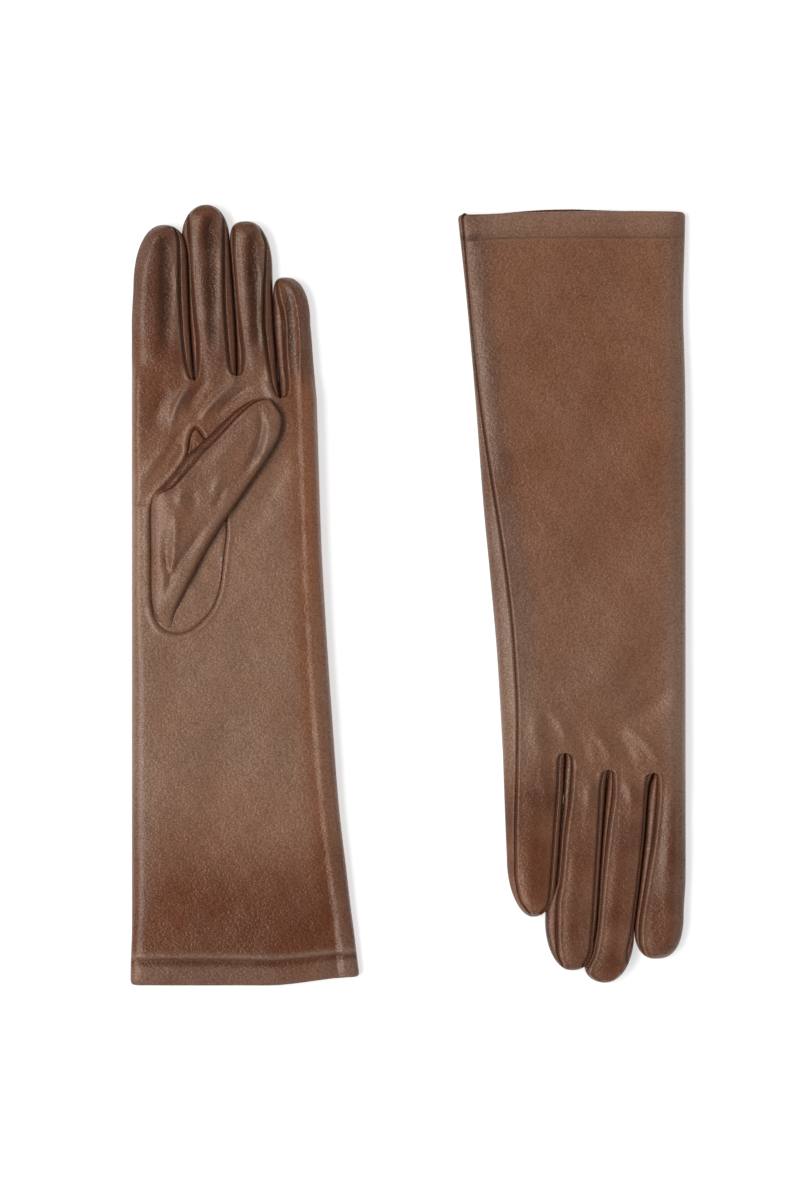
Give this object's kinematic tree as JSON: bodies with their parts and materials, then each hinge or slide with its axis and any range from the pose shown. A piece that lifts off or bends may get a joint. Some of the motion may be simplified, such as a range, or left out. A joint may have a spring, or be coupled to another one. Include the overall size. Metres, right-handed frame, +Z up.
{
  "type": "pair of long leather gloves",
  "caption": "Pair of long brown leather dress gloves with a soft lining, lying flat: the left palm up with its thumb across the palm, the right back up",
  "frame": {"origin": "on the table, under the middle of the pair", "axes": "+Y runs along the left glove from its cuff to its fingertips, +X from the left glove to the right glove, +Z up from the table"},
  "size_m": [0.268, 0.3752, 0.0194],
  "materials": {
    "leather": "satin",
    "lining": "soft sheen",
    "thread": "matte"
  },
  "bodies": {
    "left_gauntlet": {"left_cuff_hem": "leather", "left_gauntlet_leather": "leather", "left_gauntlet_lining": "lining", "left_gauntlet_seam_thread": "thread"},
    "left_hand": {"left_hand_leather": "leather", "left_hand_lining": "lining", "left_hand_seam_thread": "thread", "left_thumb_base": "leather", "left_thumb_gusset": "leather", "left_thumb_quirk": "leather"},
    "left_thumb": {"left_thumb_sleeve": "leather", "left_thumb_lining": "lining"},
    "left_index": {"left_index_fourchette": "leather", "left_index_leather": "leather", "left_index_lining": "lining", "left_index_seam_thread": "thread"},
    "left_middle": {"left_middle_fourchette_radial": "leather", "left_middle_fourchette_ulnar": "leather", "left_middle_leather": "leather", "left_middle_lining": "lining", "left_middle_seam_thread": "thread"},
    "left_ring": {"left_ring_fourchette_radial": "leather", "left_ring_fourchette_ulnar": "leather", "left_ring_leather": "leather", "left_ring_lining": "lining", "left_ring_seam_thread": "thread"},
    "left_little": {"left_little_fourchette": "leather", "left_little_leather": "leather", "left_little_lining": "lining", "left_little_seam_thread": "thread"},
    "right_gauntlet": {"right_cuff_hem": "leather", "right_gauntlet_leather": "leather", "right_gauntlet_lining": "lining", "right_gauntlet_seam_thread": "thread"},
    "right_hand": {"right_hand_leather": "leather", "right_hand_lining": "lining", "right_hand_seam_thread": "thread", "right_thumb_base": "leather", "right_thumb_gusset": "leather", "right_thumb_quirk": "leather"},
    "right_thumb": {"right_thumb_sleeve": "leather", "right_thumb_lining": "lining"},
    "right_index": {"right_index_fourchette": "leather", "right_index_leather": "leather", "right_index_lining": "lining", "right_index_seam_thread": "thread"},
    "right_middle": {"right_middle_fourchette_radial": "leather", "right_middle_fourchette_ulnar": "leather", "right_middle_leather": "leather", "right_middle_lining": "lining", "right_middle_seam_thread": "thread"},
    "right_ring": {"right_ring_fourchette_radial": "leather", "right_ring_fourchette_ulnar": "leather", "right_ring_leather": "leather", "right_ring_lining": "lining", "right_ring_seam_thread": "thread"},
    "right_little": {"right_little_fourchette": "leather", "right_little_leather": "leather", "right_little_lining": "lining", "right_little_seam_thread": "thread"}
  },
  "joints": [
    {"name": "right_glove_lift", "type": "slide", "parent": "left_gauntlet", "child": "right_gauntlet", "axis": [0, 0, 1], "range_m": [0, 0.1]},
    {"name": "left_wrist_fold", "type": "hinge", "parent": "left_gauntlet", "child": "left_hand", "pos_m": [-0.087, -0.0298, 0.012], "axis": [1, 0, 0], "range_deg": [0, 90]},
    {"name": "left_thumb_fold", "type": "hinge", "parent": "left_hand", "child": "left_thumb", "pos_m": [-0.105, 0.0407, 0.0194], "axis": [0.9613, -0.2756, 0], "range_deg": [0, 90]},
    {"name": "left_index_fold", "type": "hinge", "parent": "left_hand", "child": "left_index", "pos_m": [-0.119, 0.1042, 0.012], "axis": [1, 0, 0], "range_deg": [0, 90]},
    {"name": "left_middle_fold", "type": "hinge", "parent": "left_hand", "child": "left_middle", "pos_m": [-0.094, 0.1042, 0.012], "axis": [1, 0, 0], "range_deg": [0, 90]},
    {"name": "left_ring_fold", "type": "hinge", "parent": "left_hand", "child": "left_ring", "pos_m": [-0.072, 0.1042, 0.012], "axis": [1, 0, 0], "range_deg": [0, 90]},
    {"name": "left_little_fold", "type": "hinge", "parent": "left_hand", "child": "left_little", "pos_m": [-0.054, 0.0962, 0.012], "axis": [1, 0, 0], "range_deg": [0, 90]},
    {"name": "right_wrist_fold", "type": "hinge", "parent": "right_gauntlet", "child": "right_hand", "pos_m": [0.087, 0.0264, 0.012], "axis": [-1, 0, 0], "range_deg": [0, 90]},
    {"name": "right_thumb_fold", "type": "hinge", "parent": "right_hand", "child": "right_thumb", "pos_m": [0.105, -0.0441, 0], "axis": [0.9613, -0.2756, 0], "range_deg": [0, 60]},
    {"name": "right_index_fold", "type": "hinge", "parent": "right_hand", "child": "right_index", "pos_m": [0.126, -0.0836, 0.012], "axis": [-1, 0, 0], "range_deg": [0, 60]},
    {"name": "right_middle_fold", "type": "hinge", "parent": "right_hand", "child": "right_middle", "pos_m": [0.107, -0.0836, 0.012], "axis": [-1, 0, 0], "range_deg": [0, 60]},
    {"name": "right_ring_fold", "type": "hinge", "parent": "right_hand", "child": "right_ring", "pos_m": [0.086, -0.0836, 0.012], "axis": [-1, 0, 0], "range_deg": [0, 60]},
    {"name": "right_little_fold", "type": "hinge", "parent": "right_hand", "child": "right_little", "pos_m": [0.061, -0.0756, 0.012], "axis": [-1, 0, 0], "range_deg": [0, 60]}
  ],
  "couplings": [
    {"joint": "right_thumb_fold", "follows": "right_glove_lift", "rad_per_m": 10.4}
  ]
}
